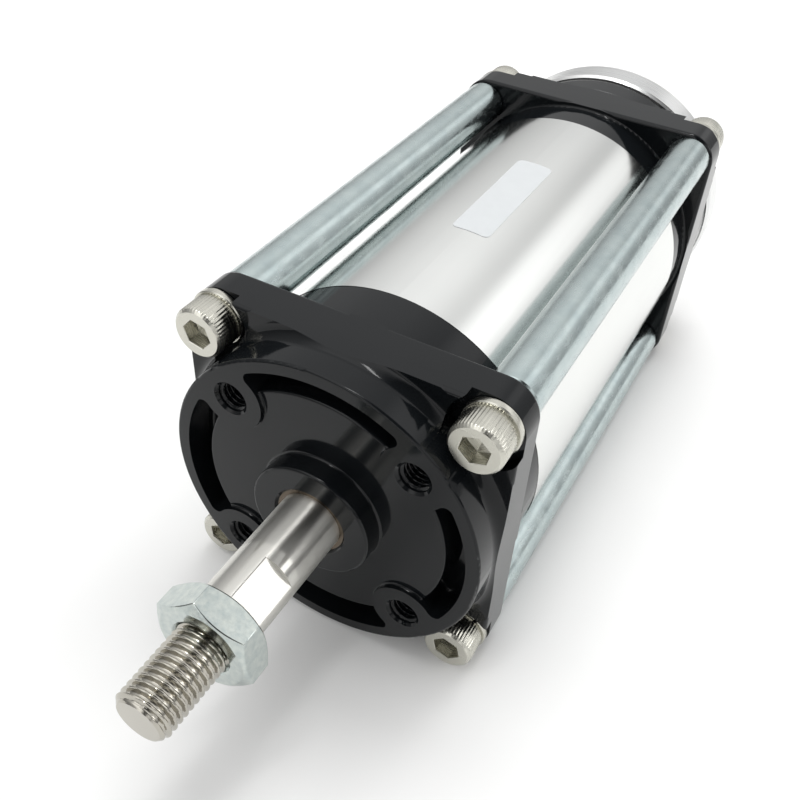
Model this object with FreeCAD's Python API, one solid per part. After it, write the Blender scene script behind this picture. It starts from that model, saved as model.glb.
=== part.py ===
"""Single-acting rolling-diaphragm cylinder, millimetres.

The rod's axis is Y and the rod points to -Y; +Z is up.
The origin is the centre of the front mounting face, on the rod's axis.
"""
import FreeCAD, Part
import math
import os

# Driving dimensions: flanges, tie rods and screws
flange_half = 32.2
flange_corner_r = 6.6
front_flange_t = 8.8
rear_flange_t = 9.6
flange_edge_r = 0.8
screw_half_pitch = 26.5
spot_face_r = 7.2
spot_face_depth = 2.7
tie_rod_r = 5.0
tie_rod_tap_depth = 14.0
tie_rod_chamfer = 0.5

# Lengths along the axis, measured from the front mounting face
front_nose_h = 7.2
front_ring_len = 9.8
tube_rear = 109.6
rear_ring_len = 8.3
rear_nose_h = 9.0
gasket_t = 0.8
head_cap_t = 8.0

# Round forms of the covers
nose_rim_r = 31.7
nose_base_r = 31.9
nose_flare_r = 2.5
ring_r = 31.2
ring_flare_r = 0.6
rim_edge_r = 0.5
recess_r = 24.9
recess_depth = 1.0
recess_fillet = 0.5
recess_edge_r = 0.5
crescent_r = 29.1
crescent_depth = 7.0
crescent_corner_r = 1.4
crescent_fillet = 0.8
pilot_r = 12.0
pilot_h = 3.3
mount_half_pitch = 18.0
mount_boss_r = 6.4
mount_hole_r = 3.0
mount_hole_mouth = 0.45
mount_hole_depth = 11.0
rear_pocket_r = 28.7
rear_boss_r = 5.5
cavity_r = 25.0
front_wall_inner = 13.0
cavity_fillet = 2.0
inner_hub_r = 13.0
inner_hub_end = 18.0
spigot_len = 4.0
vent_r = 1.5

# Barrel, head cap and air port
tube_r = 31.3
tube_bore_r = 27.0
head_cap_r = 32.4
head_cap_chamfer = 0.6
port_r = 4.85
port_chamfer = 0.8
csk_head_r = 6.0
csk_screw_len = 14.0
csk_socket_half_flat = 2.0
csk_socket_depth = 2.5

# Rod, rod end and bush
rod_r = 6.0
rod_tip = -47.7
rod_shoulder = -28.7
rod_thread_r = 5.0
nut_land_r = 4.6
nut_land_gap = 0.1
rod_tip_chamfer = 1.0
flat_half = 5.0
flat_start = -17.2
flat_angle = 45.0
stud_r = 4.0
stud_end = 132.4
stud_chamfer = 0.5
nut_half_flat = 8.5
nut_t = 6.0
nut_seat = -28.9
nut_angle = 66.0
bush_wall = 0.8
running_fit = 0.03
bush_recess = 0.5

# Piston, diaphragm and spring
piston_r = 23.0
piston_head = 121.6
piston_head_t = 4.0
piston_skirt_len = 36.0
piston_wall = 2.4
piston_edge_r = 1.5
piston_inner_r = 2.0
diaphragm_t = 0.7
diaphragm_gap = 0.3
bead_r = 29.4
bead_t = 3.0
bead_gap = 0.1
convolution_y = 87.6
retainer_r = 20.0
retainer_t = 3.0
spring_r = 17.0
spring_wire_r = 1.0
spring_turns = 11

# M6 socket head screws, split washers and rear stud fasteners
screw_r = 2.9
screw_len = 20.0
screw_head_r = 5.0
screw_head_h = 5.7
screw_chamfer = 0.4
socket_half_flat = 2.5
socket_depth = 3.0
clearance_r = 3.3
thread_gap = 0.05
washer_r = 5.4
washer_t = 1.4
washer_split = 0.8
split_slant = 30
stud_washer_r = 7.2
stud_nut_half_flat = 6.5
stud_nut_t = 5.0

# Derived places along the axis
front_flange = front_nose_h
front_flange_rear = front_flange + front_flange_t
tube_front = front_flange_rear + front_ring_len
rear_flange = tube_rear + rear_ring_len
rear_flange_rear = rear_flange + rear_flange_t
rear_nose_end = rear_flange_rear + rear_nose_h
head_cap_front = rear_nose_end + gasket_t
head_cap_rear = head_cap_front + head_cap_t
bush_bore_r = rod_r + running_fit
bush_r = bush_bore_r + bush_wall
clamp_face = piston_head + diaphragm_t
stud_washer_seat = clamp_face + retainer_t
stud_hole_r = stud_r + thread_gap
corners = {"upper_left": (-1, 1), "upper_right": (1, 1), "lower_left": (-1, -1), "lower_right": (1, -1)}
Y_AXIS = FreeCAD.Vector(0, 1, 0)
ORIGIN = FreeCAD.Vector(0, 0, 0)


def rounded_wire(points, place):
    """Closed wire through (u, v, corner radius) points, with round corners; place maps u, v to space."""
    edges = []
    joints = []
    for i, (u, v, radius) in enumerate(points):
        here = FreeCAD.Vector(u, v, 0)
        to_prev = (FreeCAD.Vector(*points[i - 1][:2], 0) - here).normalize()
        to_next = (FreeCAD.Vector(*points[(i + 1) % len(points)][:2], 0) - here).normalize()
        if radius == 0:
            joints.append((here, None, here))
            continue
        half = math.acos(max(-1.0, min(1.0, to_prev.dot(to_next)))) / 2
        reach = radius / math.tan(half)
        bisector = (to_prev + to_next).normalize()
        middle = here + bisector * (radius / math.sin(half) - radius)
        joints.append((here + to_prev * reach, middle, here + to_next * reach))
    for i, (enter, middle, leave) in enumerate(joints):
        if middle is not None:
            edges.append(Part.Arc(*[place(p.x, p.y) for p in (enter, middle, leave)]).toShape())
        after = joints[(i + 1) % len(joints)][0]
        if leave.distanceToPoint(after) > 1e-6:
            edges.append(Part.LineSegment(place(leave.x, leave.y), place(after.x, after.y)).toShape())
    return Part.Wire(edges)


def revolved(points):
    """Solid of revolution about Y from (radius, y, corner radius) points."""
    face = Part.Face(rounded_wire(points, lambda r, y: FreeCAD.Vector(r, y, 0)))
    return face.revolve(ORIGIN, Y_AXIS, 360)


def prism(points, y0, y1):
    """Straight solid along Y from (x, z, corner radius) points."""
    face = Part.Face(rounded_wire(points, lambda x, z: FreeCAD.Vector(x, y0, z)))
    return face.extrude(FreeCAD.Vector(0, y1 - y0, 0))


def cylinder(r, y0, y1, x=0.0, z=0.0):
    """Round bar along Y."""
    return Part.makeCylinder(r, y1 - y0, FreeCAD.Vector(x, y0, z), Y_AXIS)


def hexagon(half_flat, y0, y1):
    """Hexagonal bar along Y."""
    reach = half_flat / math.cos(math.pi / 6)
    turns = [math.radians(60 * k) for k in range(6)]
    return prism([(reach * math.cos(a), reach * math.sin(a), 0) for a in turns], y0, y1)


def square(half, corner_r):
    """Outline of a square with round corners."""
    return [(sx * half, sz * half, corner_r) for sx, sz in ((1, 1), (-1, 1), (-1, -1), (1, -1))]


def at_corners(shape, half_pitch):
    """Copies of a shape at the four corners of a square pattern."""
    places = [FreeCAD.Vector(sx * half_pitch, 0, sz * half_pitch) for sx, sz in corners.values()]
    return [shape.translated(place) for place in places]


def edges_in_plane(shape, y):
    """Edges that lie in the plane at height y on the axis."""
    return [e for e in shape.Edges if abs(e.BoundBox.YMin - y) < 1e-4 and abs(e.BoundBox.YMax - y) < 1e-4]


def fused(shapes):
    """One solid from touching solids."""
    return shapes[0].multiFuse(shapes[1:]).removeSplitter()


def cover_blank(flange_t, nose_h, ring_len):
    """Cover with its flange's outer face at y = 0, its nose to -y and its ring to +y, before inner cuts."""
    plate = prism(square(flange_half, flange_corner_r), 0, flange_t)
    plate = plate.makeFillet(flange_edge_r, edges_in_plane(plate, 0) + edges_in_plane(plate, flange_t))
    envelope = prism(square(flange_half, flange_corner_r), -nose_h, flange_t + ring_len)
    sink = flange_t / 2
    nose_foot_r = nose_base_r + 2 * nose_flare_r
    nose = revolved([(0, -nose_h, 0), (nose_rim_r, -nose_h, rim_edge_r), (nose_base_r, 0, nose_flare_r),
                     (nose_foot_r, 0, 0), (nose_foot_r, flange_edge_r, 0), (nose_base_r, sink, 0),
                     (0, sink, 0)])
    ring_top = flange_t + ring_len
    ring_foot_r = ring_r + 2 * ring_flare_r
    ring = revolved([(0, sink, 0), (ring_r, sink, 0), (ring_foot_r, flange_t - flange_edge_r, 0),
                     (ring_foot_r, flange_t, 0), (ring_r, flange_t, ring_flare_r),
                     (ring_r, ring_top, 0), (0, ring_top, 0)])
    body = fused([plate, nose.common(envelope), ring.common(envelope)])
    core = cylinder(nose_rim_r, -nose_h, sink)
    spot = cylinder(spot_face_r, -nose_h, spot_face_depth)
    cuts = [s.cut(core) for s in at_corners(spot, screw_half_pitch)]
    cuts += at_corners(cylinder(clearance_r, 0, 2 * flange_t), screw_half_pitch)
    return body.cut(cuts)


def nose_hollow(top, inner_r, depth):
    """Room between a radius and the rim, left out at the tapped bosses, with round corners at the rim."""
    keep = [cylinder(inner_r, top, depth)]
    keep += at_corners(cylinder(mount_boss_r, top, depth), mount_half_pitch)
    tool = cylinder(crescent_r, top, depth).cut(keep).removeSplitter()
    corners = []
    for edge in tool.Edges:
        upright = edge.BoundBox.YLength > recess_depth
        x, z = edge.CenterOfMass.x, edge.CenterOfMass.z
        if upright and math.hypot(x, z) > recess_r + 1 and min(abs(x), abs(z)) > mount_boss_r:
            corners.append(edge)
    return tool.makeFillet(crescent_corner_r, corners)


def floor_arcs(shape, radii):
    """Arcs of the given radii in the plane of the recess's floor."""
    arcs = [e for e in edges_in_plane(shape, recess_depth) if isinstance(e.Curve, Part.Circle)]
    return [e for e in arcs if any(abs(e.Curve.Radius - r) < 0.01 for r in radii)]


def recess_tool(top):
    """Shallow recess round the pilot and four deeper crescents along the rim, with round feet and edges."""
    crescents = nose_hollow(top, recess_r, crescent_depth)
    crescents = crescents.makeFillet(crescent_fillet, edges_in_plane(crescents, crescent_depth))
    tool = nose_hollow(top, pilot_r, recess_depth).fuse(crescents).removeSplitter()
    tool = tool.makeFillet(recess_fillet, floor_arcs(tool, (pilot_r, mount_boss_r)))
    return tool.makeFillet(recess_edge_r, floor_arcs(tool, (recess_r,)))


def make_front_cover():
    """Front cover: pilot hub for the bush, pocketed nose with four tapped bosses, spigot for the barrel."""
    body = cover_blank(front_flange_t, front_nose_h, front_ring_len)
    body.translate(FreeCAD.Vector(0, front_flange, 0))
    body = body.cut(recess_tool(-pilot_h))
    pilot = revolved([(0, -pilot_h, 0), (pilot_r, -pilot_h, rim_edge_r), (pilot_r, recess_depth, 0),
                      (0, recess_depth, 0)])
    spigot = cylinder(tube_bore_r - thread_gap, front_flange_rear, tube_front + spigot_len)
    body = fused([body, pilot, spigot])
    open_end = tube_front + spigot_len
    cavity = revolved([(inner_hub_r, inner_hub_end, 0), (inner_hub_r, front_wall_inner, 0),
                       (cavity_r, front_wall_inner, cavity_fillet), (cavity_r, open_end, 0),
                       (0, open_end, 0), (0, inner_hub_end, 0)])
    bore = revolved([(0, -pilot_h, 0), (bush_r + bush_recess, -pilot_h, 0),
                     (bush_r, bush_recess - pilot_h, 0), (bush_r, inner_hub_end, 0), (0, inner_hub_end, 0)])
    hole = revolved([(0, 0, 0), (mount_hole_r + mount_hole_mouth, 0, 0), (mount_hole_r, mount_hole_mouth, 0),
                     (mount_hole_r, mount_hole_depth, 0), (0, mount_hole_depth, 0)])
    vent_y = front_flange_rear + front_ring_len / 2
    vent = Part.makeCylinder(vent_r, 2 * ring_r, FreeCAD.Vector(0, vent_y, 0), FreeCAD.Vector(0, 0, -1))
    return body.cut([cavity, bore, vent] + at_corners(hole, mount_half_pitch))


def make_rear_cover():
    """Rear cover: seat for the diaphragm's bead, bore for the piston, open nose with four tapped bosses."""
    body = cover_blank(rear_flange_t, rear_nose_h, rear_ring_len)
    body = body.mirror(ORIGIN, Y_AXIS)
    body.translate(FreeCAD.Vector(0, rear_flange_rear, 0))
    pocket_floor = rear_nose_end - mount_hole_depth
    hollow = revolved([(0, tube_rear, 0), (bead_r, tube_rear, 0), (bead_r, tube_rear + bead_t, 0),
                       (cavity_r, tube_rear + bead_t, 0), (cavity_r, pocket_floor, 0),
                       (rear_pocket_r, pocket_floor, cavity_fillet), (rear_pocket_r, rear_nose_end, 0),
                       (0, rear_nose_end, 0)])
    trim = cylinder(nose_rim_r - 1, pocket_floor - 1, rear_nose_end)
    boss = cylinder(rear_boss_r, pocket_floor - 1, rear_nose_end)
    bosses = [b.common(trim) for b in at_corners(boss, mount_half_pitch)]
    body = fused([body.cut(hollow)] + bosses)
    hole = cylinder(mount_hole_r, pocket_floor, rear_nose_end)
    return body.cut(at_corners(hole, mount_half_pitch))


def make_head_gasket():
    """Flat gasket with the outline of the rear nose's end face."""
    y0, y1 = rear_nose_end, head_cap_front
    ring = cylinder(nose_rim_r - rim_edge_r, y0, y1).cut(cylinder(rear_pocket_r, y0, y1))
    pads = [p.common(cylinder(rear_pocket_r + 1, y0, y1)) for p in
            at_corners(cylinder(rear_boss_r, y0, y1), mount_half_pitch)]
    return fused([ring] + pads).cut(at_corners(cylinder(clearance_r, y0, y1), mount_half_pitch))


def countersunk(head_r, shank_r, y_top, y_end):
    """Flat-headed screw form: 90 degree cone down to the shank, tip towards -y."""
    return revolved([(0, y_end, 0), (shank_r, y_end, 0), (shank_r, y_top - (head_r - shank_r), 0),
                     (head_r, y_top, 0), (0, y_top, 0)])


def make_head_cap():
    """Round end plate with the air port in its middle and four countersunk holes."""
    y0, y1 = head_cap_front, head_cap_rear
    c = head_cap_chamfer
    plate = revolved([(port_r, y0, 0), (head_cap_r - c, y0, 0), (head_cap_r, y0 + c, 0),
                      (head_cap_r, y1 - c, 0), (head_cap_r - c, y1, 0), (port_r + port_chamfer, y1, 0),
                      (port_r, y1 - port_chamfer, 0)])
    sunk = countersunk(csk_head_r + thread_gap, clearance_r, y1, y0 - 1)
    return plate.cut(at_corners(sunk, mount_half_pitch))


def make_head_cap_screws():
    """Four countersunk hex socket screws."""
    screw = countersunk(csk_head_r, screw_r, head_cap_rear, head_cap_rear - csk_screw_len)
    screw = screw.cut(hexagon(csk_socket_half_flat, head_cap_rear - csk_socket_depth, head_cap_rear))
    return Part.makeCompound(at_corners(screw, mount_half_pitch))


def make_tube():
    """Plain barrel."""
    return cylinder(tube_r, tube_front, tube_rear).cut(cylinder(tube_bore_r, tube_front, tube_rear))


def make_tie_rod(corner):
    """Round bar with a tapped hole in each end."""
    y0, y1 = front_flange_rear, rear_flange
    c = tie_rod_chamfer
    bar = revolved([(0, y0, 0), (tie_rod_r - c, y0, 0), (tie_rod_r, y0 + c, 0), (tie_rod_r, y1 - c, 0),
                    (tie_rod_r - c, y1, 0), (0, y1, 0)])
    tap_r = screw_r + thread_gap
    bar = bar.cut([cylinder(tap_r, y0, y0 + tie_rod_tap_depth), cylinder(tap_r, y1 - tie_rod_tap_depth, y1)])
    sx, sz = corners[corner]
    return bar.translated(FreeCAD.Vector(sx * screw_half_pitch, 0, sz * screw_half_pitch))


def cap_screw(seat, towards):
    """Socket head cap screw: the head stands on the plane at seat, the shank points along towards."""
    c = screw_chamfer
    tip = screw_head_h + screw_len
    turned = revolved([(0, 0, 0), (screw_head_r - c, 0, 0), (screw_head_r, c, 0),
                       (screw_head_r, screw_head_h, 0), (screw_r, screw_head_h, 0), (screw_r, tip - c, 0),
                       (screw_r - c, tip, 0), (0, tip, 0)])
    screw = turned.cut(hexagon(socket_half_flat, 0, socket_depth))
    screw.translate(FreeCAD.Vector(0, -screw_head_h, 0))
    if towards < 0:
        screw = screw.mirror(ORIGIN, Y_AXIS)
    return screw.translated(FreeCAD.Vector(0, seat, 0))


def split_washer(y0, y1, r, hole_r):
    """Flattened spring washer with its slanting split."""
    ring = cylinder(r, y0, y1).cut(cylinder(hole_r, y0, y1))
    depth = 3 * (y1 - y0)
    split = Part.makeBox(washer_split, depth, 2 * r, FreeCAD.Vector(-washer_split / 2, -depth / 2, 0))
    split.rotate(ORIGIN, FreeCAD.Vector(0, 0, 1), split_slant)
    return ring.cut(split.translated(FreeCAD.Vector(0, (y0 + y1) / 2, 0)))


def make_bush():
    """Thin-walled plain bush in the front cover's hub."""
    y0 = bush_recess - pilot_h
    return cylinder(bush_r, y0, inner_hub_end).cut(cylinder(bush_bore_r, y0, inner_hub_end))


def make_piston_rod():
    """Ground rod: threaded front end, two wrench flats, shouldered stud at the rear."""
    c = rod_tip_chamfer
    inner_face = piston_head - piston_head_t
    nut_land = nut_seat - nut_t - nut_land_gap
    rod = revolved([(0, rod_tip, 0), (rod_thread_r - c, rod_tip, 0), (rod_thread_r, rod_tip + c, 0),
                    (rod_thread_r, nut_land, 0), (nut_land_r, nut_land, 0), (nut_land_r, rod_shoulder, 0),
                    (rod_r, rod_shoulder, 0), (rod_r, inner_face, 0),
                    (stud_r, inner_face, 0), (stud_r, stud_end - stud_chamfer, 0),
                    (stud_r - stud_chamfer, stud_end, 0), (0, stud_end, 0)])
    flats = []
    for side in (0, 180):
        block = Part.makeBox(rod_r, flat_start - rod_shoulder, 2 * rod_r,
                             FreeCAD.Vector(flat_half, rod_shoulder, -rod_r))
        block.rotate(ORIGIN, Y_AXIS, side - flat_angle)
        flats.append(block)
    return rod.cut(flats)


def chamfered_nut(half_flat, hole_r, y0, y1):
    """Hexagon nut with both faces chamfered to a circle."""
    reach = half_flat / math.cos(math.pi / 6)
    c = (reach - half_flat) * math.tan(math.radians(30))
    turned = revolved([(hole_r, y0, 0), (half_flat, y0, 0), (reach, y0 + c, 0), (reach, y1 - c, 0),
                       (half_flat, y1, 0), (hole_r, y1, 0)])
    return hexagon(half_flat, y0, y1).common(turned)


def make_lock_nut():
    """Hexagon nut on the rod end."""
    nut = chamfered_nut(nut_half_flat, nut_land_r + running_fit, nut_seat - nut_t, nut_seat)
    nut.rotate(ORIGIN, Y_AXIS, 30 - nut_angle)
    return nut


def make_piston():
    """Cup: head with a hole for the stud, thin skirt towards the front."""
    skirt_end = piston_head - piston_skirt_len
    inner = piston_head - piston_head_t
    return revolved([(stud_hole_r, inner, 0), (piston_r - piston_wall, inner, piston_inner_r),
                     (piston_r - piston_wall, skirt_end, 0), (piston_r, skirt_end, 0),
                     (piston_r, piston_head, piston_edge_r), (stud_hole_r, piston_head, 0)])


def make_diaphragm():
    """Thin moulded sheet: bead, down the bore, round the convolution, up the skirt and over the head."""
    t = diaphragm_t
    outer = tube_bore_r - diaphragm_gap
    inner = piston_r + diaphragm_gap
    fold = (outer - inner) / 2
    bottom = convolution_y
    bead_top = tube_rear + bead_t - bead_gap
    return revolved([(stud_hole_r, piston_head, 0), (inner, piston_head, piston_edge_r),
                     (inner, bottom, fold), (outer, bottom, fold), (outer, tube_rear, 0),
                     (bead_r - bead_gap, tube_rear, 0), (bead_r - bead_gap, bead_top, 0),
                     (outer - t, bead_top, 0), (outer - t, bottom + t, fold - t),
                     (inner + t, bottom + t, fold - t), (inner + t, clamp_face, piston_edge_r + t),
                     (stud_hole_r, clamp_face, 0)])


def make_spring():
    """Helical compression spring between the front cover and the piston's head, ends ground flat."""
    y0 = front_wall_inner
    y1 = piston_head - piston_head_t
    height = y1 - y0 - spring_wire_r
    path = Part.makeHelix(height / spring_turns, height, spring_r)
    section = Part.Wire(Part.makeCircle(spring_wire_r, FreeCAD.Vector(spring_r, 0, 0), Y_AXIS))
    coil = Part.Wire(path).makePipeShell([section], True, True)
    coil.rotate(ORIGIN, FreeCAD.Vector(1, 0, 0), -90)
    coil.translate(FreeCAD.Vector(0, y0 + spring_wire_r / 2, 0))
    return coil.common(cylinder(2 * spring_r, y0, y1))


def make_retainer():
    """Dished plate that clamps the diaphragm on the piston."""
    y0, y1 = clamp_face, clamp_face + retainer_t
    return revolved([(stud_hole_r, y0, 0), (retainer_r, y0, 0), (retainer_r, y1, piston_edge_r),
                     (stud_hole_r, y1, 0)])


def screw_set(seat, towards):
    """Four cap screws of one cover."""
    return Part.makeCompound(at_corners(cap_screw(seat, towards), screw_half_pitch))


def washer_set(y0, y1):
    """Four split washers of one cover."""
    washer = split_washer(y0, y1, washer_r, screw_r + 2 * thread_gap)
    return Part.makeCompound(at_corners(washer, screw_half_pitch))


def make_parts():
    """All pieces by node name."""
    front_seat = front_flange + spot_face_depth
    rear_seat = rear_flange_rear - spot_face_depth
    stud_nut_seat = stud_washer_seat + washer_t
    parts = {
        "front_cover": make_front_cover(),
        "rear_cover": make_rear_cover(),
        "cylinder_tube": make_tube(),
        "head_cap": make_head_cap(),
        "head_gasket": make_head_gasket(),
        "head_cap_screws": make_head_cap_screws(),
        "front_screws": screw_set(front_seat - washer_t, 1),
        "front_lock_washers": washer_set(front_seat - washer_t, front_seat),
        "rear_screws": screw_set(rear_seat + washer_t, -1),
        "rear_lock_washers": washer_set(rear_seat, rear_seat + washer_t),
        "rod_bush": make_bush(),
        "return_spring": make_spring(),
        "rolling_diaphragm": make_diaphragm(),
        "piston_rod": make_piston_rod(),
        "piston": make_piston(),
        "diaphragm_retainer": make_retainer(),
        "piston_lock_washer": split_washer(stud_washer_seat, stud_nut_seat, stud_washer_r, stud_hole_r),
        "piston_nut": chamfered_nut(stud_nut_half_flat, stud_hole_r, stud_nut_seat,
                                    stud_nut_seat + stud_nut_t),
        "rod_lock_nut": make_lock_nut(),
    }
    for corner in corners:
        parts["tie_rod_" + corner] = make_tie_rod(corner)
    return parts


os.makedirs("parts", exist_ok=True)
for node, shape in make_parts().items():
    shape.exportStep("parts/" + node + ".step")
    print(node, "valid", shape.isValid(), "solids", len(shape.Solids), "volume", round(shape.Volume))
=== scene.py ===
"""Looks of the diaphragm cylinder: materials, threads, screws, nut, label, spring, studio and camera."""
import math

import bmesh
import bpy
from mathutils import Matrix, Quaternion, Vector


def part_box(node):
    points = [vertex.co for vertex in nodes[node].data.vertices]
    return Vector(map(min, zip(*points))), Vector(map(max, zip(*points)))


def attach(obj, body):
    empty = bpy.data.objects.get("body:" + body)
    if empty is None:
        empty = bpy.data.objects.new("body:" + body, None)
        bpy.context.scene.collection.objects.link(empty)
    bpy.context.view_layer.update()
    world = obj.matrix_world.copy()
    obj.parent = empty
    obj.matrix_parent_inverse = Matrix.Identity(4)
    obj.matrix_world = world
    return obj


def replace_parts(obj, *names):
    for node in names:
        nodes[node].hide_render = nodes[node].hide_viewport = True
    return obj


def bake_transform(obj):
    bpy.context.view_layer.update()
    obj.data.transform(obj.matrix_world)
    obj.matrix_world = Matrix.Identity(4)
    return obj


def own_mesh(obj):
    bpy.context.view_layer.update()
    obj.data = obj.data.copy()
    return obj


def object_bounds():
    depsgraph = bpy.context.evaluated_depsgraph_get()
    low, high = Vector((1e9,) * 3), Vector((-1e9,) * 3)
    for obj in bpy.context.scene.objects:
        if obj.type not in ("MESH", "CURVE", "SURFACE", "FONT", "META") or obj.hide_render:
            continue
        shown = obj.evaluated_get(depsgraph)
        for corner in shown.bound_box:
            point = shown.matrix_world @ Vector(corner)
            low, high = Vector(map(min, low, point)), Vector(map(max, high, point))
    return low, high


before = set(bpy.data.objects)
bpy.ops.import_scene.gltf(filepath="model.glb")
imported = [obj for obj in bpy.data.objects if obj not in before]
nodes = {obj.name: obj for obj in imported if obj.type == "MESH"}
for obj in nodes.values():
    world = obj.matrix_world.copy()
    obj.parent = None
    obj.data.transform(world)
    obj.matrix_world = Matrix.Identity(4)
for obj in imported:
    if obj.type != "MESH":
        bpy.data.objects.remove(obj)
cad_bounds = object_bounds()

# Sizes in millimetres and angles in degrees, in the axes of the frame
MM = 0.001


def reach(node_name):
    """Lowest and highest y of a CAD node, in mm."""
    low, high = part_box(node_name)
    return low.y / MM, high.y / MM


SCREW_HALF_PITCH = 26.5
MOUNT_HALF_PITCH = 18.0
CORNERS = ((-1, 1), (1, 1), (-1, -1), (1, -1))

# Rod and its thread
ROD_R = 6.0
ROD_TIP, STUD_END = reach("piston_rod")
ROD_SHOULDER = -27.2
FLAT_START = -17.2
FLAT_HALF = 5.0
FLAT_ANGLE = 45.0
STUD_R = 4.0
STUD_START = 117.6
STUD_CHAMFER = 0.5
THREAD_R = 5.0
THREAD_PITCH = 1.25
THREAD_DEPTH = 0.7
THREAD_STEPS = 14
TIP_CHAMFER = 1.0

# Flats at the root and the crest of a thread, as shares of its pitch
ROOT_FLAT = 0.25
CREST_FLAT = 0.125

# Nut, in front of the rod's shoulder where the photo places both
NUT_HALF_FLAT = 8.5
NUT_HEIGHT = 6.0
NUT_CLEARANCE = 0.2
NUT_REAR = ROD_SHOULDER - NUT_CLEARANCE
NUT_FRONT = NUT_REAR - NUT_HEIGHT
NUT_ANGLE = 66.0
NUT_FACE_R = 8.0
NUT_BORE_R = 5.02
NUT_SINK_R = 5.6
NUT_EDGE_R = 0.12
NUT_CHAMFER_ANGLE = 30.0
NUT_SHARP_ANGLE = 25.0

# Socket head screws and split washers, clocked at the corners in the order above
HEAD_R = 5.0
HEAD_H = 5.7
HEAD_CHAMFER = 0.45
HEAD_FOOT = (0.1, 0.35)
SHANK_R = 2.9
SHANK_LEN = 20.0
SHANK_CHAMFER = 0.4
SOCKET_HALF_FLAT = 2.5
SOCKET_DEPTH = 3.0
SOCKET_BEVEL = 0.1
SOCKET_CONE = (0.05, 0.7)
KNURL_TEETH = 48
KNURL_DEPTH = 0.14
KNURL_LEAD = 0.3
WASHER_R = 5.4
WASHER_HOLE_R = 3.0
WASHER_T = 1.4
WASHER_EDGE = 0.2
WASHER_GAP_ANGLE = 9.0
WASHER_SLANT_ANGLE = 12.0
FRONT_CLOCKING = (49, 19, 35, 44)
REAR_CLOCKING = (10, 33, 52, 21)
FRONT_SPLITS = (200, 310, 140, 60)
REAR_SPLITS = (20, 120, 250, 330)

# Tapped holes
TAP_R = 3.0
TAP_PITCH = 1.0
TAP_DEPTH = 0.5
TAP_START = 0.5
TAP_END = 10.5
TAP_LEAD = 0.6
TAP_SKIN = 0.01
TAP_STEPS = 12

# Return spring
SPRING_R = 17.0
SPRING_WIRE_R = 1.0
SPRING_TURNS = 11
SPRING_STEPS = 40
SPRING_SIDES = 12
SPRING_Y = (13.0, 117.6)

# Rolling diaphragm: sheet, its two walls, the bottom of its fold, its bead and its head
SHEET_T = 0.7
SHEET_INNER_R = 23.3
SHEET_OUTER_R = 26.7
SHEET_HOLE_R = 4.05
SHEET_HEAD = 121.6
SHEET_EDGE_R = 1.5
FOLD_BOTTOM = 87.6
BEAD_R = 29.3
BEAD_Y = (109.6, 112.5)

# Label on the barrel
TUBE_R = 31.3
LABEL_Y = (52.2, 85.3)
LABEL_ANGLES = (81.0, 95.6)
LABEL_CORNER = 1.2
LABEL_T = 0.06

# Camera of the photo
CAMERA_PLACE = Vector((61.317, -91.338, 124.742)) * MM
CAMERA_TARGET = Vector((10.479, 8.487, 24.99)) * MM
CAMERA_ROLL = 3.635
CAMERA_LENS = 41.411
CAMERA_SENSOR = 36.0
CAMERA_NEAR = 5.0 * MM

# Floor, in metres: its glow grows between the two distances, so that it stays white far off
FLOOR_Z = cad_bounds[0][2]
FLOOR_GAP = 0.05 * MM
FLOOR_HALF_SIZE = 6.0
FLOOR_FADE = (0.5, 2.0)
FLOOR_GLOW = (0.07, 0.6)

# Studio: light by the angle round the barrel's axis (0 right, 90 above, 180 left). It gets dimmer where the
# y of a direction goes through ROOM_BACK, and has stripes in front, where the y is below ROOM_FRONT
ROOM_LIGHT = ((180, 0.42), (170, 0.52), (160, 0.66), (150, 0.78), (132, 0.93), (119, 1.02), (105, 1.08),
              (92, 0.98), (82, 0.86), (75, 0.84), (69, 1.15), (64, 1.35), (50, 1.35), (44, 1.0), (36, 0.8),
              (20, 0.6), (0, 0.5))
ROOM_BACK = (0.78, 0.92)
ROOM_BACK_LIGHT = 0.7
ROOM_FRONT = (0.2, 0.36)
FRONT_LIGHT = ((180, 0.55), (150, 0.65), (138, 0.75), (122, 1.6), (95, 1.5), (86, 0.7), (80, 0.06),
               (50, 0.06), (44, 0.5), (38, 1.5), (12, 1.5), (0, 0.2))

# Lamps: name, place, width and length in metres, power in watts, and whether the metal mirrors it
LAMPS = (("key", (-0.03, 0.45, 0.9), 0.5, 0.5, 4.5, False),
         ("window", (0.8, 0.44, 0.39), 0.3, 0.3, 0.8, True),
         ("strip", (-0.035, -0.05, 1.0), 0.08, 0.5, 1.6, True))
LAMP_TARGET = Vector((0, 0.05, 0))

# How the grain of a finish is stretched along X, Y and Z
DRAWN = (1, 0.02, 1)
PLATED = (1, 0.3, 1)
TURNED = (0.03, 1, 0.03)
EVEN = (1, 1, 1)


def put(tree, kind, inputs=None, **settings):
    """Adds a node; an input is a value, or an output of another node to link."""
    node = tree.nodes.new(kind)
    for name, value in settings.items():
        setattr(node, name, value)
    for name, value in (inputs or {}).items():
        if isinstance(value, bpy.types.NodeSocket):
            tree.links.new(value, node.inputs[name])
        else:
            node.inputs[name].default_value = value
    return node


def surface(name, **values):
    """New material: its tree, its Principled shader and its object coordinates."""
    material = bpy.data.materials.new(name)
    material.use_nodes = True
    tree = material.node_tree
    shader = tree.nodes["Principled BSDF"]
    for socket, value in values.items():
        shader.inputs[socket.replace("_", " ")].default_value = value
    place = put(tree, "ShaderNodeTexCoord").outputs["Object"]
    return material, tree, shader, place


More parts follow.
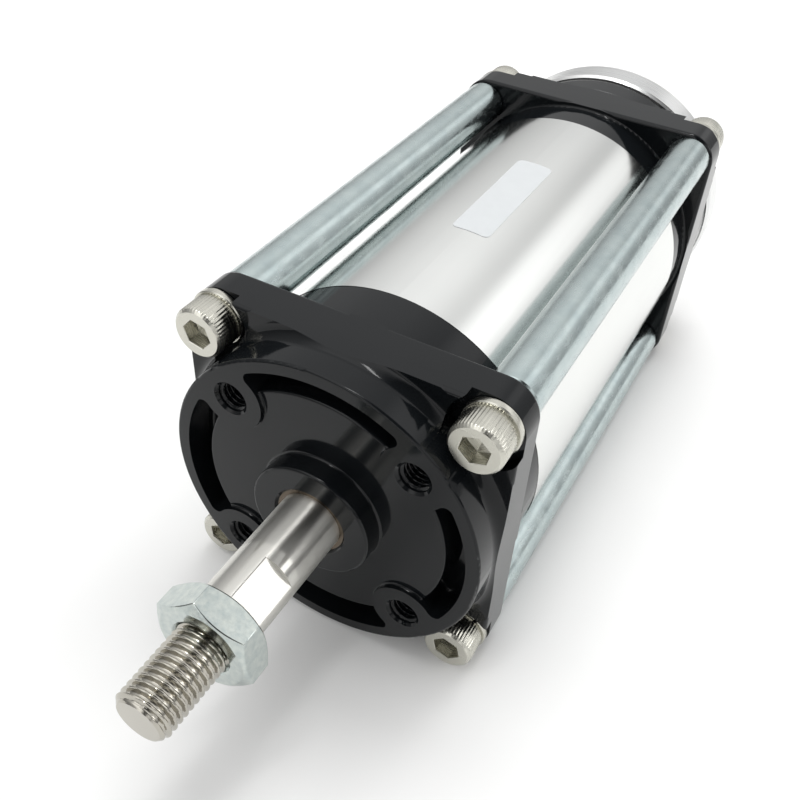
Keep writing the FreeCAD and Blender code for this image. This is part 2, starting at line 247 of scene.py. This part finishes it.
def noise(tree, place, scale, stretch=(1, 1, 1), detail=3.0):
    """Noise of a size in 1/m, stretched along an axis by a small factor there."""
    spread = put(tree, "ShaderNodeMapping", {"Vector": place, "Scale": stretch})
    inputs = {"Vector": spread.outputs[0], "Scale": scale, "Detail": detail}
    return put(tree, "ShaderNodeTexNoise", inputs).outputs["Fac"]


def span(tree, value, low, high, start=0.3, end=0.7):
    """Maps a texture from start..end to low..high."""
    inputs = {"Value": value, "From Min": start, "From Max": end, "To Min": low, "To Max": high}
    return put(tree, "ShaderNodeMapRange", inputs).outputs[0]


def tint(tree, value, low, high):
    """Colour between two shades by a texture."""
    mix = put(tree, "ShaderNodeMixRGB", {"Fac": value, "Color1": (*low, 1), "Color2": (*high, 1)})
    return mix.outputs[0]


def relief(tree, shader, value, strength, depth):
    """Bump of a depth in metres."""
    bump = put(tree, "ShaderNodeBump", {"Height": value, "Strength": strength, "Distance": depth})
    tree.links.new(bump.outputs[0], shader.inputs["Normal"])


def shade(tree, shader, colour, roughness):
    """Links colour and roughness."""
    tree.links.new(colour, shader.inputs["Base Color"])
    tree.links.new(roughness, shader.inputs["Roughness"])


def paint_material():
    """Gloss black paint on a die casting: faint orange peel and a cloudy gloss."""
    material, tree, shader, place = surface("cover_paint", IOR=1.5, Specular_IOR_Level=0.25)
    clouds = noise(tree, place, 70, detail=4)
    peel = noise(tree, place, 900, detail=2)
    shade(tree, shader, tint(tree, clouds, (0.004, 0.005, 0.006), (0.007, 0.008, 0.009)),
          span(tree, clouds, 0.07, 0.12))
    relief(tree, shader, peel, 0.06, 0.00003)
    return material


def metal_material(name, low, high, rough, stretch, scale=600, grain=0.1, patches=60):
    """Bare or plated metal: cloudy shade and a grain drawn out along the axis with the small stretch."""
    material, tree, shader, place = surface(name, Metallic=1.0)
    clouds = noise(tree, place, patches, detail=4)
    lines = noise(tree, place, scale, stretch, 2)
    shade(tree, shader, tint(tree, clouds, low, high), span(tree, lines, *rough))
    relief(tree, shader, lines, grain, 0.00002)
    return material


def ground_material():
    """Ground and polished bar: a mirror with a haze drawn out along its axis by fine marks round it."""
    material, tree, shader, place = surface("rod_ground", Metallic=1.0)
    clouds = noise(tree, place, 90, detail=4)
    marks = noise(tree, place, 6000, TURNED, 3)
    colour = tint(tree, clouds, (0.65, 0.64, 0.60), (0.73, 0.72, 0.68))
    shade(tree, shader, colour, span(tree, marks, 0.04, 0.08))
    relief(tree, shader, marks, 0.1, 0.000002)
    round_axis = put(tree, "ShaderNodeTangent", direction_type="RADIAL", axis="Y")
    haze = put(tree, "ShaderNodeBsdfPrincipled", {
        "Base Color": colour, "Metallic": 1.0, "Roughness": span(tree, marks, 0.3, 0.4), "Anisotropic": 0.95,
        "Anisotropic Rotation": 0.25, "Tangent": round_axis.outputs[0]})
    both = put(tree, "ShaderNodeMixShader", {"Fac": 0.8, 1: shader.outputs[0], 2: haze.outputs[0]})
    tree.links.new(both.outputs[0], tree.nodes["Material Output"].inputs["Surface"])
    return material


def rubber_material():
    """Black fabric-reinforced rubber."""
    material, tree, shader, place = surface("rubber")
    weave = noise(tree, place, 1500, detail=2)
    shade(tree, shader, tint(tree, weave, (0.012, 0.012, 0.012), (0.03, 0.03, 0.03)),
          span(tree, weave, 0.5, 0.7))
    relief(tree, shader, weave, 0.3, 0.00005)
    return material


def label_material():
    """Bare white sticker with a satin face."""
    material, tree, shader, place = surface("label_white")
    fibres = noise(tree, place, 500, detail=4)
    shade(tree, shader, tint(tree, fibres, (0.53, 0.55, 0.56), (0.58, 0.60, 0.61)),
          span(tree, fibres, 0.3, 0.42))
    relief(tree, shader, fibres, 0.1, 0.00002)
    return material


paint = paint_material()
barrel = metal_material("barrel_aluminium", (0.76, 0.77, 0.76), (0.81, 0.82, 0.80), (0.12, 0.18),
                        DRAWN, 900, 0.04)
cap_metal = metal_material("cap_aluminium", (0.74, 0.75, 0.75), (0.82, 0.82, 0.81), (0.24, 0.36),
                           TURNED, 2500)
zinc = metal_material("zinc_plate", (0.38, 0.45, 0.46), (0.57, 0.64, 0.63), (0.15, 0.32),
                      PLATED, 900, 0.07, 250)
nut_zinc = metal_material("nut_zinc", (0.34, 0.40, 0.41), (0.66, 0.69, 0.64), (0.08, 0.22),
                          EVEN, 1500, 0.15, 900)
stainless = metal_material("stainless", (0.52, 0.51, 0.45), (0.66, 0.65, 0.59), (0.20, 0.34), TURNED, 3000)
ground = ground_material()
thread_steel = metal_material("rod_thread", (0.40, 0.38, 0.34), (0.54, 0.52, 0.46), (0.1, 0.2), TURNED, 3000)
bronze = metal_material("bush_bronze", (0.10, 0.08, 0.06), (0.15, 0.12, 0.09), (0.16, 0.3), TURNED, 2500)
spring_steel = metal_material("spring_steel", (0.28, 0.28, 0.30), (0.38, 0.38, 0.39), (0.25, 0.4), EVEN)
inner_metal = metal_material("inner_metal", (0.64, 0.64, 0.64), (0.74, 0.74, 0.73), (0.28, 0.4),
                             TURNED, 2500)
inner_steel = metal_material("inner_steel", (0.50, 0.52, 0.54), (0.60, 0.61, 0.62), (0.25, 0.4), EVEN)
rubber = rubber_material()
label_white = label_material()

NODE_MATERIALS = {
    paint: ("front_cover", "rear_cover"),
    barrel: ("cylinder_tube",),
    cap_metal: ("head_cap",),
    zinc: ("tie_rod_upper_left", "tie_rod_upper_right", "tie_rod_lower_left", "tie_rod_lower_right"),
    stainless: ("head_cap_screws",),
    bronze: ("rod_bush",),
    rubber: ("head_gasket",),
    inner_metal: ("piston", "diaphragm_retainer"),
    inner_steel: ("piston_lock_washer", "piston_nut"),
}
for finish, names in NODE_MATERIALS.items():
    for node_name in names:
        nodes[node_name].data.materials.clear()
        nodes[node_name].data.materials.append(finish)


def turn_angles(count, start=0.0):
    """Evenly spread angles round the axis, in radians, from a start in degrees."""
    return [math.radians(start) + 2 * math.pi * i / count for i in range(count)]


def add_turned(mesh, rows, angles, x=0.0, z=0.0, loop=False):
    """Adds a skin round an axis along Y. A row gives (radius, y) in mm at an angle.
    A loop joins its last row to its first; otherwise both ends are capped."""
    rings = []
    for row in rows:
        ring = []
        for angle in angles:
            radius, y = row(angle)
            ring.append(mesh.verts.new(
                Vector((x + radius * math.cos(angle), y, z + radius * math.sin(angle))) * MM))
        rings.append(ring)
    count = len(angles)
    pairs = list(zip(rings, rings[1:])) + ([(rings[-1], rings[0])] if loop else [])
    for ring, after in pairs:
        for i in range(count):
            k = (i + 1) % count
            mesh.faces.new((ring[i], ring[k], after[k], after[i]))
    if not loop:
        mesh.faces.new(rings[0])
        mesh.faces.new(rings[-1])


def plain_row(radius, y):
    """Row of a constant radius."""
    return lambda angle: (radius, y)


def piece(name, mesh, materials, body=None, sharp=35.0):
    """Object from a bmesh: outward normals, smooth faces, sharp creases, materials, and the body it rides."""
    bmesh.ops.recalc_face_normals(mesh, faces=mesh.faces)
    for face in mesh.faces:
        face.smooth = True
    for edge in mesh.edges:
        edge.smooth = len(edge.link_faces) == 2 and edge.calc_face_angle() < math.radians(sharp)
    data = bpy.data.meshes.new(name)
    mesh.to_mesh(data)
    mesh.free()
    for material in materials:
        data.materials.append(material)
    obj = bpy.data.objects.new(name, data)
    bpy.context.scene.collection.objects.link(obj)
    if body:
        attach(obj, body)
    return obj


def hexagon_r(angle, half_flat, corner):
    """Radius of a hexagon with a corner at an angle, both in radians."""
    inside = (angle - corner) % (math.pi / 3) - math.pi / 6
    return half_flat / math.cos(inside)


def thread_height(angle, y, pitch):
    """Height of a right-handed thread round Y, from 0 at its root to 1 at its crest."""
    turn = (y / pitch + angle / (2 * math.pi)) % 1.0
    rise = abs(turn - 0.5) * 2
    flank = min(1.0, max(0.0, (rise - ROOT_FLAT) / (1 - ROOT_FLAT - CREST_FLAT)))
    return flank * flank * (3 - 2 * flank)


def rod_flat_r(angle):
    """Radius of the rod at its two wrench flats."""
    across = abs(math.cos(angle - math.radians(FLAT_ANGLE)))
    return min(ROD_R, FLAT_HALF / max(across, 0.01))


def rod_thread_row(y):
    """Row of the rod's threaded end, with its chamfered tip."""
    chamfer_r = THREAD_R - TIP_CHAMFER + (y - ROD_TIP)

    def row(angle):
        crest = THREAD_R - THREAD_DEPTH * (1 - thread_height(angle, y, THREAD_PITCH))
        return min(crest, chamfer_r), y
    return row


def make_rod():
    """Piston rod: stud, ground shaft, wrench flats and a thread with real ridges."""
    flat_edge = math.degrees(math.acos(FLAT_HALF / ROD_R))
    edges = [FLAT_ANGLE + side + turn for side in (0, 180) for turn in (-flat_edge, flat_edge)]
    angles = sorted(turn_angles(120) + [math.radians(a % 360) for a in edges])
    rows = [plain_row(STUD_R - STUD_CHAMFER, STUD_END), plain_row(STUD_R, STUD_END - STUD_CHAMFER),
            plain_row(STUD_R, STUD_START), plain_row(ROD_R, STUD_START), plain_row(ROD_R, FLAT_START)]
    for y in (FLAT_START, ROD_SHOULDER):
        rows.append(lambda angle, y=y: (rod_flat_r(angle), y))
    steps = int((ROD_SHOULDER - ROD_TIP) / THREAD_PITCH * THREAD_STEPS)
    rows += [rod_thread_row(ROD_SHOULDER + (ROD_TIP - ROD_SHOULDER) * i / steps) for i in range(steps + 1)]
    mesh = bmesh.new()
    add_turned(mesh, rows, angles)
    thread_edge = (ROD_SHOULDER - 0.05) * MM
    for face in mesh.faces:
        face.material_index = int(face.calc_center_median().y < thread_edge)
    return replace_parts(piece("rod_ground", mesh, [ground, thread_steel], "rod"), "piston_rod")


def make_nut():
    """Hexagon nut with a turned chamfer on both faces, a countersunk bore and slightly rounded edges."""
    corner = math.radians(NUT_ANGLE + 30)
    slope = math.tan(math.radians(NUT_CHAMFER_ANGLE))

    def chamfer_row(face, inwards):
        """Row where the chamfer of a face meets the flats."""
        def row(angle):
            radius = hexagon_r(angle, NUT_HALF_FLAT, corner)
            return radius, face + inwards * (radius - NUT_FACE_R) * slope
        return row
    sink = NUT_SINK_R - NUT_BORE_R
    rows = [plain_row(NUT_BORE_R, NUT_REAR - sink), plain_row(NUT_BORE_R, NUT_FRONT + sink),
            plain_row(NUT_SINK_R, NUT_FRONT), plain_row(NUT_FACE_R, NUT_FRONT), chamfer_row(NUT_FRONT, 1),
            chamfer_row(NUT_REAR, -1), plain_row(NUT_FACE_R, NUT_REAR), plain_row(NUT_SINK_R, NUT_REAR)]
    mesh = bmesh.new()
    add_turned(mesh, rows, turn_angles(180, NUT_ANGLE + 30), loop=True)
    obj = piece("lock_nut", mesh, [nut_zinc], "lock_nut", NUT_SHARP_ANGLE)
    rounding = obj.modifiers.new("edges", "BEVEL")
    rounding.width = NUT_EDGE_R * MM
    rounding.segments = 2
    rounding.angle_limit = math.radians(NUT_SHARP_ANGLE)
    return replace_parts(obj, "rod_lock_nut")


def add_screw(mesh, x, z, face_y, towards, corner):
    """Adds a cap screw with a knurled head; its face is at face_y and its shank points along towards."""
    def knurl(angle):
        return HEAD_R - KNURL_DEPTH * (0.5 - 0.5 * math.cos(KNURL_TEETH * angle))

    def socket(angle):
        return hexagon_r(angle, SOCKET_HALF_FLAT, math.radians(corner))

    def at(depth):
        return face_y + towards * depth
    turned_r = HEAD_R - KNURL_DEPTH
    cone_r, cone_depth = SOCKET_CONE
    foot_inset, foot_height = HEAD_FOOT
    rows = [plain_row(cone_r, at(SOCKET_DEPTH + cone_depth)),
            lambda angle: (socket(angle), at(SOCKET_DEPTH)),
            lambda angle: (socket(angle), at(SOCKET_BEVEL)),
            lambda angle: (socket(angle) + SOCKET_BEVEL, at(0)),
            plain_row(turned_r - HEAD_CHAMFER, at(0)),
            plain_row(turned_r, at(HEAD_CHAMFER)),
            lambda angle: (knurl(angle), at(HEAD_CHAMFER + KNURL_LEAD)),
            lambda angle: (knurl(angle), at(HEAD_H - foot_height)),
            plain_row(turned_r - foot_inset, at(HEAD_H)),
            plain_row(SHANK_R, at(HEAD_H)),
            plain_row(SHANK_R, at(HEAD_H + SHANK_LEN - SHANK_CHAMFER)),
            plain_row(SHANK_R - SHANK_CHAMFER, at(HEAD_H + SHANK_LEN))]
    add_turned(mesh, rows, turn_angles(KNURL_TEETH * 6, corner), x, z)


def make_screws(name, node_name, face_y, towards, clocking):
    """Four cap screws of one cover."""
    mesh = bmesh.new()
    for (sx, sz), corner in zip(CORNERS, clocking):
        add_screw(mesh, sx * SCREW_HALF_PITCH, sz * SCREW_HALF_PITCH, face_y, towards, corner)
    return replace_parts(piece(name, mesh, [stainless], "barrel"), node_name)


def add_split_washer(mesh, x, z, y0, split):
    """Adds a spring washer with bevelled edges and a slanting split, whose angle is in degrees."""
    edge = WASHER_EDGE
    y1 = y0 + WASHER_T
    outline = [(WASHER_HOLE_R, y0), (WASHER_R - edge, y0), (WASHER_R, y0 + edge), (WASHER_R, y1 - edge),
               (WASHER_R - edge, y1), (WASHER_HOLE_R, y1)]
    gap = math.radians(WASHER_GAP_ANGLE)
    count = 90
    angles = [math.radians(split) + gap / 2 + (2 * math.pi - gap) * i / (count - 1) for i in range(count)]
    rings = []
    for radius, y in outline:
        slant = math.radians(WASHER_SLANT_ANGLE) * ((y - y0) / WASHER_T - 0.5)
        turns = [a + slant for a in angles]
        rings.append([mesh.verts.new(Vector((x + radius * math.cos(a), y, z + radius * math.sin(a))) * MM)
                      for a in turns])
    for ring, after in zip(rings, rings[1:] + rings[:1]):
        for i in range(count - 1):
            mesh.faces.new((ring[i], ring[i + 1], after[i + 1], after[i]))
    mesh.faces.new([ring[0] for ring in rings])
    mesh.faces.new([ring[-1] for ring in rings])


def make_washers(name, node_name, splits):
    """Four split washers of one cover."""
    low, _ = reach(node_name)
    mesh = bmesh.new()
    for (sx, sz), split in zip(CORNERS, splits):
        add_split_washer(mesh, sx * SCREW_HALF_PITCH, sz * SCREW_HALF_PITCH, low, split)
    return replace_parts(piece(name, mesh, [stainless], "barrel"), node_name)


def make_tapped_threads():
    """Thread ridges inside the four tapped holes of the front cover."""
    steps = int((TAP_END - TAP_START) / TAP_PITCH * TAP_STEPS)
    wall_r = TAP_R - TAP_SKIN
    root_r = wall_r - TAP_SKIN

    def ridge_row(y):
        height = TAP_DEPTH * min(1.0, (y - TAP_START) / TAP_LEAD)
        return lambda angle: (root_r - height * thread_height(angle, y, TAP_PITCH), y)
    mesh = bmesh.new()
    for sx, sz in CORNERS:
        rows = [plain_row(wall_r, TAP_START), plain_row(wall_r, TAP_END)]
        rows += [ridge_row(TAP_END + (TAP_START - TAP_END) * i / steps) for i in range(steps + 1)]
        add_turned(mesh, rows, turn_angles(60), sx * MOUNT_HALF_PITCH, sz * MOUNT_HALF_PITCH, loop=True)
    return piece("tapped_threads", mesh, [paint], "barrel")


def make_spring():
    """Helical return spring with ground ends."""
    low, high = SPRING_Y
    rise = high - low - SPRING_WIRE_R
    steps = SPRING_TURNS * SPRING_STEPS
    mesh = bmesh.new()
    rings = []
    for i in range(steps + 1):
        turn = 2 * math.pi * SPRING_TURNS * i / steps
        middle = low + SPRING_WIRE_R / 2 + rise * i / steps
        ring = []
        for angle in turn_angles(SPRING_SIDES):
            radius = SPRING_R + SPRING_WIRE_R * math.cos(angle)
            y = min(high, max(low, middle + SPRING_WIRE_R * math.sin(angle)))
            ring.append(mesh.verts.new(Vector((radius * math.cos(turn), y, radius * math.sin(turn))) * MM))
        rings.append(ring)
    for ring, after in zip(rings, rings[1:]):
        for i in range(SPRING_SIDES):
            mesh.faces.new((ring[i - 1], ring[i], after[i], after[i - 1]))
    mesh.faces.new(rings[0])
    mesh.faces.new(rings[-1])
    obj = piece("coil_spring", mesh, [spring_steel], "barrel", 50)
    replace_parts(obj, "return_spring")
    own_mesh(obj)


def arc_rows(radius, y, bend, start, end, count=8):
    """Rows along an arc in the profile: its centre, its radius, and angles in degrees."""
    turns = [math.radians(start + (end - start) * i / count) for i in range(count + 1)]
    return [plain_row(radius + bend * math.cos(a), y + bend * math.sin(a)) for a in turns]


def make_diaphragm():
    """Rolling diaphragm as one sheet, from its head round its fold to its bead."""
    t = SHEET_T
    middle = (SHEET_INNER_R + SHEET_OUTER_R) / 2
    fold = (SHEET_OUTER_R - SHEET_INNER_R) / 2
    fold_y = FOLD_BOTTOM + fold
    edge_r = SHEET_INNER_R - SHEET_EDGE_R
    edge_y = SHEET_HEAD - SHEET_EDGE_R
    wall = [fold_y + (edge_y - fold_y) * i / 40 for i in range(1, 40)]
    rows = [plain_row(SHEET_HOLE_R, SHEET_HEAD)] + arc_rows(edge_r, edge_y, SHEET_EDGE_R, 90, 0)
    rows += [plain_row(SHEET_INNER_R, y) for y in reversed(wall)]
    rows += arc_rows(middle, fold_y, fold, 180, 360, 16)
    rows += [plain_row(SHEET_OUTER_R, BEAD_Y[0]), plain_row(BEAD_R, BEAD_Y[0]), plain_row(BEAD_R, BEAD_Y[1]),
             plain_row(SHEET_OUTER_R - t, BEAD_Y[1])]
    rows += arc_rows(middle, fold_y, fold - t, 360, 180, 16)
    rows += [plain_row(SHEET_INNER_R + t, y) for y in wall]
    rows += arc_rows(edge_r, edge_y, SHEET_EDGE_R + t, 0, 90) + [plain_row(SHEET_HOLE_R, SHEET_HEAD + t)]
    mesh = bmesh.new()
    add_turned(mesh, rows, turn_angles(96), loop=True)
    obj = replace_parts(piece("diaphragm_sheet", mesh, [rubber]), "rolling_diaphragm")
    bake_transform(obj)


def make_label():
    """Bare sticker with round corners, on the barrel."""
    low, high = (math.radians(a) for a in LABEL_ANGLES)
    width = (high - low) * TUBE_R
    columns = 48
    outer = TUBE_R + LABEL_T
    mesh = bmesh.new()
    strips = []
    for i in range(columns + 1):
        across = width * (0.5 - 0.5 * math.cos(math.pi * i / columns))
        side = min(across, width - across, LABEL_CORNER)
        inset = LABEL_CORNER - math.sqrt(LABEL_CORNER ** 2 - (LABEL_CORNER - side) ** 2)
        angle = low + across / TUBE_R
        strips.append([mesh.verts.new(Vector((outer * math.cos(angle), y, outer * math.sin(angle))) * MM)
                       for y in (LABEL_Y[0] + inset, LABEL_Y[1] - inset)])
    for strip, after in zip(strips, strips[1:]):
        mesh.faces.new((strip[0], strip[1], after[1], after[0]))
    obj = piece("label", mesh, [label_white], "barrel", 60)
    thick = obj.modifiers.new("thickness", "SOLIDIFY")
    thick.thickness = LABEL_T * MM
    thick.offset = -1
    return obj


make_rod()
make_nut()
make_screws("front_cap_screws", "front_screws", reach("front_screws")[0], 1, FRONT_CLOCKING)
make_screws("rear_cap_screws", "rear_screws", reach("rear_screws")[1], -1, REAR_CLOCKING)
make_washers("front_spring_washers", "front_lock_washers", FRONT_SPLITS)
make_washers("rear_spring_washers", "rear_lock_washers", REAR_SPLITS)
make_tapped_threads()
make_spring()
make_diaphragm()
make_label()


def make_floor():
    """Pale floor that keeps the shadow and shows white to the camera and in reflections."""
    mesh = bmesh.new()
    bmesh.ops.create_grid(mesh, x_segments=1, y_segments=1, size=FLOOR_HALF_SIZE)
    data = bpy.data.meshes.new("floor")
    mesh.to_mesh(data)
    mesh.free()
    floor = bpy.data.objects.new("floor", data)
    floor.location.z = FLOOR_Z - FLOOR_GAP
    bpy.context.scene.collection.objects.link(floor)
    material, tree, shader, place = surface("floor_white", Roughness=0.9, Specular_IOR_Level=0.0)
    grain = noise(tree, place, 40)
    tree.links.new(tint(tree, grain, (0.77, 0.77, 0.765), (0.80, 0.80, 0.795)), shader.inputs["Base Color"])
    path = put(tree, "ShaderNodeLightPath")
    seen = put(tree, "ShaderNodeMath", {0: path.outputs["Is Camera Ray"], 1: path.outputs["Is Glossy Ray"]},
               operation="MAXIMUM")
    shader.inputs["Emission Color"].default_value = (1, 1, 0.99, 1)
    away = put(tree, "ShaderNodeVectorMath", {0: place}, operation="LENGTH").outputs["Value"]
    amount = span(tree, away, *FLOOR_GLOW, *FLOOR_FADE)
    glow = put(tree, "ShaderNodeMath", {0: seen.outputs[0], 1: amount}, operation="MULTIPLY")
    tree.links.new(glow.outputs[0], shader.inputs["Emission Strength"])
    data.materials.append(material)


def by_angle(tree, cosine, table):
    """Light given at angles round the barrel's axis."""
    ramp = put(tree, "ShaderNodeValToRGB", {"Fac": span(tree, cosine, 0, 1, -1, 1)})
    stops = ramp.color_ramp.elements
    while len(stops) < len(table):
        stops.new(0.5)
    for stop, (angle, light) in zip(stops, table):
        stop.position = 0.5 + 0.5 * math.cos(math.radians(angle))
        stop.color = (light, light, light, 1)
    return ramp.outputs["Color"]


def make_world():
    """Soft studio, bright above and darker at its walls; white where the camera sees it."""
    world = bpy.data.worlds.new("studio")
    world.use_nodes = True
    tree = world.node_tree
    place = put(tree, "ShaderNodeTexCoord").outputs["Generated"]
    axes = put(tree, "ShaderNodeSeparateXYZ", {"Vector": place}).outputs
    across = put(tree, "ShaderNodeCombineXYZ", {"X": axes["X"], "Z": axes["Z"]})
    round_axis = put(tree, "ShaderNodeVectorMath", {0: across.outputs[0]}, operation="NORMALIZE")
    cosine = put(tree, "ShaderNodeSeparateXYZ", {"Vector": round_axis.outputs[0]}).outputs["X"]
    front = put(tree, "ShaderNodeMixRGB", {
        "Fac": span(tree, axes["Y"], 1, 0, *ROOM_FRONT), "Color1": (1, 1, 1, 1),
        "Color2": by_angle(tree, cosine, FRONT_LIGHT)})
    room = put(tree, "ShaderNodeVectorMath", {0: by_angle(tree, cosine, ROOM_LIGHT), 1: front.outputs[0]},
               operation="MULTIPLY")
    behind = span(tree, axes["Y"], 1, ROOM_BACK_LIGHT, *ROOM_BACK)
    room = put(tree, "ShaderNodeVectorMath", {0: room.outputs[0], 1: behind}, operation="MULTIPLY")
    path = put(tree, "ShaderNodeLightPath").outputs["Is Camera Ray"]
    seen = put(tree, "ShaderNodeMixRGB", {"Fac": path, "Color1": room.outputs[0], "Color2": (1, 1, 1, 1)})
    tree.links.new(seen.outputs[0], tree.nodes["Background"].inputs["Color"])
    bpy.context.scene.world = world


def make_lamp(name, place, width, length, power, mirrored):
    """Soft lamp that looks at the barrel."""
    data = bpy.data.lights.new(name, "AREA")
    data.shape = "RECTANGLE"
    data.size = width
    data.size_y = length
    data.energy = power
    lamp = bpy.data.objects.new(name, data)
    lamp.location = place
    lamp.visible_glossy = mirrored
    lamp.rotation_euler = (LAMP_TARGET - lamp.location).to_track_quat("-Z", "Y").to_euler()
    bpy.context.scene.collection.objects.link(lamp)


def make_camera():
    """Camera of the photo."""
    data = bpy.data.cameras.new("camera")
    data.lens = CAMERA_LENS
    data.sensor_width = CAMERA_SENSOR
    data.clip_start = CAMERA_NEAR
    camera = bpy.data.objects.new("camera", data)
    aim = (CAMERA_TARGET - CAMERA_PLACE).to_track_quat("-Z", "Y")
    camera.location = CAMERA_PLACE
    camera.rotation_euler = (aim @ Quaternion((0, 0, 1), math.radians(CAMERA_ROLL))).to_euler()
    bpy.context.scene.collection.objects.link(camera)
    bpy.context.scene.camera = camera


make_floor()
make_world()
for settings in LAMPS:
    make_lamp(*settings)
make_camera()
bpy.context.scene.view_settings.view_transform = "Standard"
